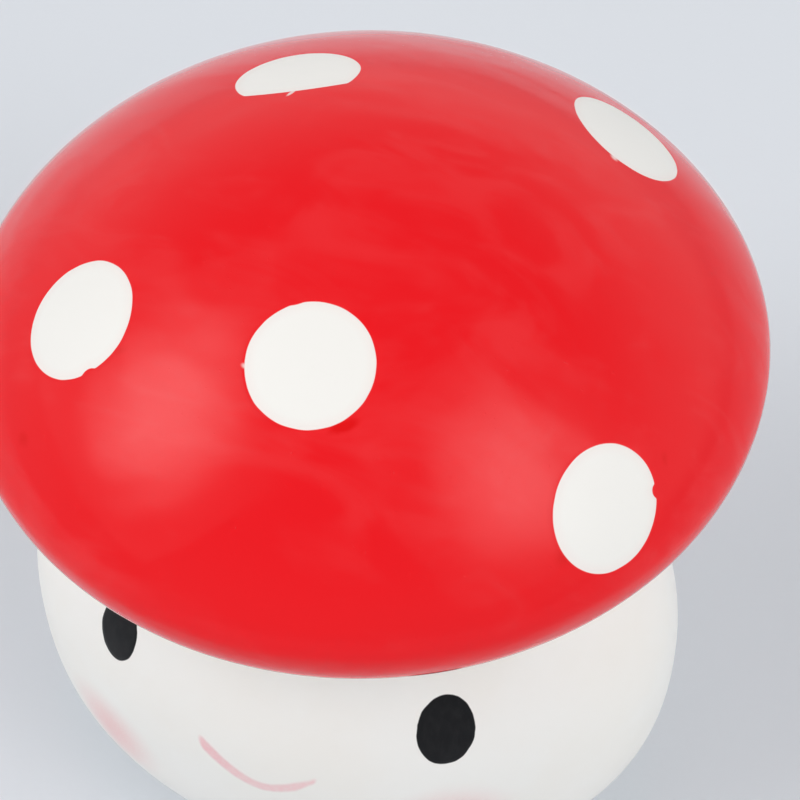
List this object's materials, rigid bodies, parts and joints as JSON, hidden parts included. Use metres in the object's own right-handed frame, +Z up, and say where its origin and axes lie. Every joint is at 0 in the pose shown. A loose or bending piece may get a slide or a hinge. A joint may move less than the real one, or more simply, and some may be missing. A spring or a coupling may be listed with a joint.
{
  "type": "ceramic mushroom ornament",
  "caption": "Ceramic mushroom ornament: a glossy red round cap with white dots on a white oval body with a simple painted smiling face, standing on felt pads",
  "frame": {"origin": "on the floor, under the middle of the cap, at the underside of the felt pads", "axes": "+Z up, the face looks towards -Y, +X is to the right of someone who looks at the face"},
  "size_m": [0.106, 0.106, 0.1082],
  "materials": {
    "red_lacquer": "glossy red lacquer over white ceramic, with masked white dots",
    "white_ceramic": "satin off-white ceramic with a hand-painted face",
    "cement": "matt off-white ceramic cement",
    "stopper_rubber": "soft translucent-looking pale rubber",
    "felt": "pressed grey felt"
  },
  "bodies": {
    "root": {"cap_shell": "red_lacquer", "body_shell": "white_ceramic", "cement_bed": "cement", "base_stopper": "stopper_rubber", "pad_front_left": "felt", "pad_front_right": "felt", "pad_rear_left": "felt", "pad_rear_right": "felt"}
  },
  "joints": []
}
